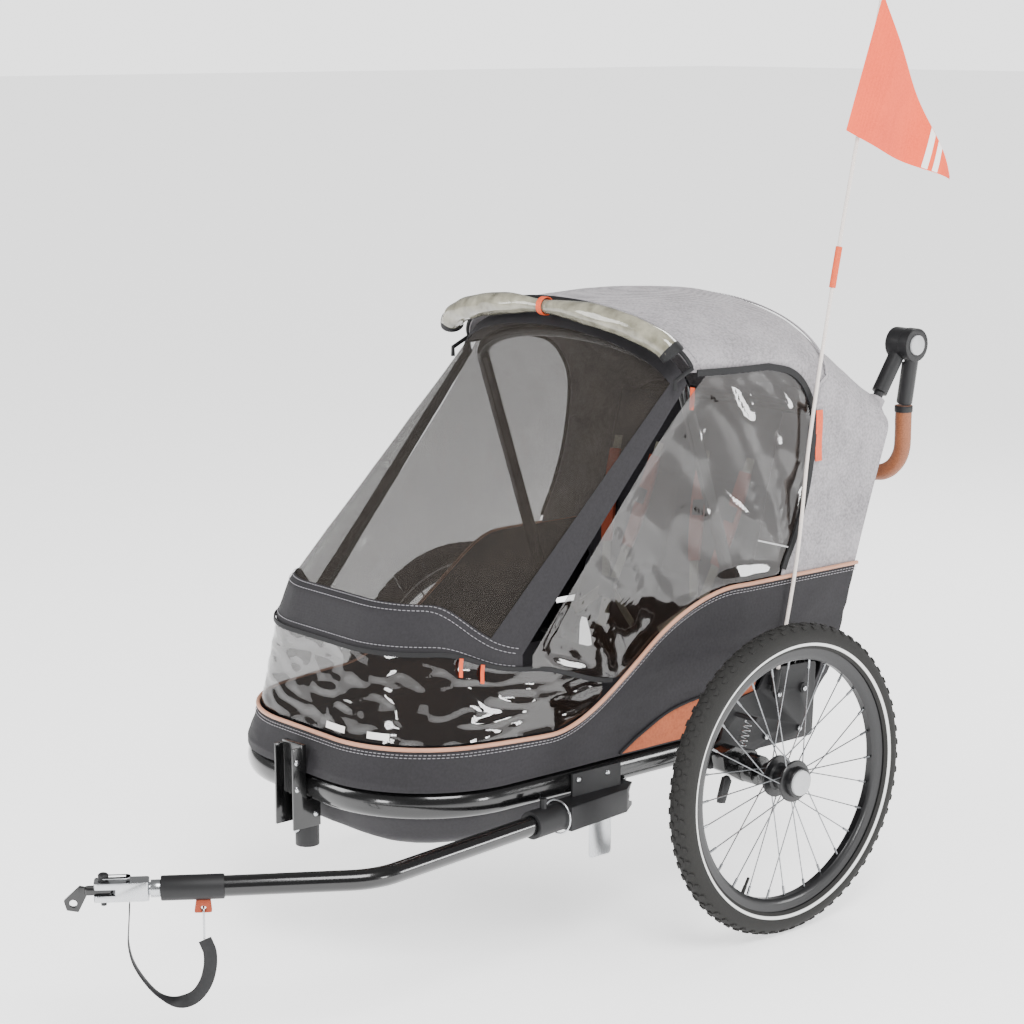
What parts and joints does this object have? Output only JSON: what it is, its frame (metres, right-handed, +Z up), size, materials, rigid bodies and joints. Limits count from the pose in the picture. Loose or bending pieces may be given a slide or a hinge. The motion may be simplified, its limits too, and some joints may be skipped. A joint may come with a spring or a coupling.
{
  "type": "child bicycle trailer",
  "caption": "Two-wheeled child bicycle trailer with a folding fabric cabin, mesh and clear covers, spoked wheels, tow arm, push handle and safety flag.",
  "frame": {"origin": "on the ground, midway between the two wheels' contact points", "axes": "-Y is forwards, towards the tow arm; +X is the trailer's left side, where the tow arm and flag are; +Z is up"},
  "size_m": [0.886, 1.5809, 1.4977],
  "materials": {
    "frame_paint": "gloss",
    "black_plastic": "moulded",
    "steel": "satin",
    "tyre": "matt",
    "rim_paint": "satin",
    "hub_metal": "satin",
    "grey_cap": "satin",
    "tub_fabric": "woven",
    "roof_fabric": "heather weave",
    "seat_fabric": "padded",
    "harness_webbing": "webbing",
    "strap_webbing": "webbing",
    "clear_sheet": "smoky clear sheet",
    "mesh_net": "open mesh",
    "flag_fabric": "thin cloth",
    "ferrule_plastic": "moulded",
    "pole_fibreglass": "drawn",
    "rust_fabric": "webbing",
    "tan_grip": "grained",
    "tan_trim": "satin"
  },
  "bodies": {
    "chassis": {"lower_frame": "frame_paint", "rear_crossbar": "frame_paint", "axle_beam": "frame_paint", "side_plate_left": "black_plastic", "side_plate_right": "black_plastic", "nose_bracket": "frame_paint", "nose_socket": "black_plastic", "arm_receiver": "black_plastic", "tub": "tub_fabric", "seat_base": "seat_fabric", "seat_back": "seat_fabric", "harness_left": "harness_webbing", "harness_right": "harness_webbing", "front_window": "clear_sheet", "side_window_left": "clear_sheet", "side_window_right": "clear_sheet", "front_cover": "mesh_net", "canopy": "roof_fabric", "spring_left": "steel", "spring_right": "steel", "pole_socket": "black_plastic"},
    "rear_hoop": {"rear_hoop": "frame_paint", "handle_post_left": "black_plastic", "handle_post_right": "black_plastic", "grommet_left": "tan_trim", "grommet_right": "tan_trim"},
    "front_hoop": {"front_hoop": "frame_paint", "rain_roll": "clear_sheet"},
    "push_handle": {"handle_arm_left": "black_plastic", "handle_arm_right": "black_plastic", "grip_bar": "tan_grip"},
    "tow_arm": {"tow_arm": "frame_paint", "strap_loop": "rust_fabric", "snap_hook": "steel", "safety_strap": "strap_webbing"},
    "coupler": {"coupler": "steel"},
    "axle_bracket": {"axle_bracket": "frame_paint"},
    "hitch_pin": {"hitch_pin": "black_plastic"},
    "pin_bail": {"pin_bail": "steel"},
    "receiver_tab": {"receiver_tab": "steel"},
    "receiver_ring": {"receiver_ring": "steel"},
    "socket_button": {"socket_button": "steel"},
    "flag": {"flag_pole": "pole_fibreglass", "pole_ferrule": "ferrule_plastic", "flag": "flag_fabric"},
    "handle_button_left": {"handle_button_left": "grey_cap"},
    "swing_arm_left": {"swing_arm_left": "frame_paint"},
    "wheel_left": {"tyre_left": "tyre", "rim_left": "rim_paint", "hub_left": "hub_metal"},
    "hub_cap_left": {"hub_cap_left": "grey_cap"},
    "brake_lever_left": {"brake_lever_left": "black_plastic"},
    "handle_button_right": {"handle_button_right": "grey_cap"},
    "swing_arm_right": {"swing_arm_right": "frame_paint"},
    "wheel_right": {"tyre_right": "tyre", "rim_right": "rim_paint", "hub_right": "hub_metal"},
    "hub_cap_right": {"hub_cap_right": "grey_cap"},
    "brake_lever_right": {"brake_lever_right": "black_plastic"}
  },
  "joints": [
    {"name": "cabin_fold", "type": "hinge", "parent": "chassis", "child": "rear_hoop", "pos_m": [0, 0.158, 0.347], "axis": [1, 0, 0], "range_deg": [0, 95], "deforming": ["canopy", "side_window_left", "side_window_right", "front_window", "front_cover", "tub", "seat_back", "seat_base", "harness_left", "harness_right"]},
    {"name": "front_hoop_fold", "type": "hinge", "parent": "chassis", "child": "front_hoop", "pos_m": [0, 0.098, 0.347], "axis": [1, 0, 0], "range_deg": [0, 61]},
    {"name": "push_handle_tilt", "type": "hinge", "parent": "rear_hoop", "child": "push_handle", "pos_m": [0, 0.437, 0.887], "axis": [1, 0, 0], "range_deg": [0, 150]},
    {"name": "handle_button_left_press", "type": "slide", "parent": "push_handle", "child": "handle_button_left", "axis": [-1, 0, 0], "range_m": [0, 0.004], "stiffness_N_per_m": 800, "springref_m": -0.002},
    {"name": "suspension_left", "type": "hinge", "parent": "chassis", "child": "swing_arm_left", "pos_m": [0.31, -0.04, 0.27], "axis": [1, 0, 0], "range_deg": [0, 7], "stiffness_Nm_per_rad": 60, "springref_deg": -8.59, "deforming": ["spring_left"]},
    {"name": "wheel_left_spin", "type": "hinge", "parent": "swing_arm_left", "child": "wheel_left", "pos_m": [0.41, 0, 0.25], "axis": [1, 0, 0], "continuous": true},
    {"name": "hub_cap_left_press", "type": "slide", "parent": "wheel_left", "child": "hub_cap_left", "axis": [-1, 0, 0], "range_m": [0, 0.003], "stiffness_N_per_m": 800, "springref_m": -0.002},
    {"name": "brake_lever_left_press", "type": "hinge", "parent": "swing_arm_left", "child": "brake_lever_left", "pos_m": [0.33, -0.053, 0.243], "axis": [1, 0, 0], "range_deg": [0, 20]},
    {"name": "handle_button_right_press", "type": "slide", "parent": "push_handle", "child": "handle_button_right", "axis": [1, 0, 0], "range_m": [0, 0.004], "stiffness_N_per_m": 800, "springref_m": -0.002},
    {"name": "suspension_right", "type": "hinge", "parent": "chassis", "child": "swing_arm_right", "pos_m": [-0.31, -0.04, 0.27], "axis": [1, 0, 0], "range_deg": [0, 7], "stiffness_Nm_per_rad": 60, "springref_deg": -8.59, "deforming": ["spring_right"]},
    {"name": "wheel_right_spin", "type": "hinge", "parent": "swing_arm_right", "child": "wheel_right", "pos_m": [-0.41, 0, 0.25], "axis": [1, 0, 0], "continuous": true},
    {"name": "hub_cap_right_press", "type": "slide", "parent": "wheel_right", "child": "hub_cap_right", "axis": [1, 0, 0], "range_m": [0, 0.003], "stiffness_N_per_m": 800, "springref_m": -0.002},
    {"name": "brake_lever_right_press", "type": "hinge", "parent": "swing_arm_right", "child": "brake_lever_right", "pos_m": [-0.33, -0.053, 0.243], "axis": [1, 0, 0], "range_deg": [0, 20]},
    {"name": "tow_arm_slide", "type": "slide", "parent": "chassis", "child": "tow_arm", "axis": [0.1253, -0.9921, 0], "range_m": [0, 0.12]},
    {"name": "coupler_roll", "type": "hinge", "parent": "tow_arm", "child": "coupler", "pos_m": [0.1875, -0.9778, 0.2365], "axis": [-0.5678, -0.8232, 0], "range_deg": [-25, 25]},
    {"name": "hitch_yaw", "type": "hinge", "parent": "coupler", "child": "axle_bracket", "pos_m": [0.1244, -1.0692, 0.2365], "axis": [0, 0, 1], "range_deg": [-40, 40]},
    {"name": "hitch_pin_pull", "type": "slide", "parent": "coupler", "child": "hitch_pin", "axis": [0, 0, 1], "range_m": [0, 0.03]},
    {"name": "pin_bail_swing", "type": "hinge", "parent": "hitch_pin", "child": "pin_bail", "pos_m": [0.1244, -1.0692, 0.255], "axis": [0.8232, -0.5678, 0], "range_deg": [0, 110]},
    {"name": "receiver_tab_press", "type": "hinge", "parent": "chassis", "child": "receiver_tab", "pos_m": [0.284, -0.283, 0.214], "axis": [0, 1, 0], "range_deg": [0, 15], "stiffness_Nm_per_rad": 0.5, "springref_deg": -5.73},
    {"name": "receiver_ring_swing", "type": "hinge", "parent": "chassis", "child": "receiver_ring", "pos_m": [0.2915, -0.3775, 0.2647], "axis": [0.9921, 0.1253, 0], "range_deg": [-12, 6]},
    {"name": "socket_button_press", "type": "slide", "parent": "chassis", "child": "socket_button", "axis": [0, 1, 0], "range_m": [0, 0.004], "stiffness_N_per_m": 800, "springref_m": -0.002},
    {"name": "flag_pull", "type": "slide", "parent": "chassis", "child": "flag", "axis": [0, 0.2151, 0.9766], "range_m": [0, 0.15]}
  ],
  "couplings": [
    {"joint": "front_hoop_fold", "follows": "cabin_fold", "ratio": 0.63}
  ]
}
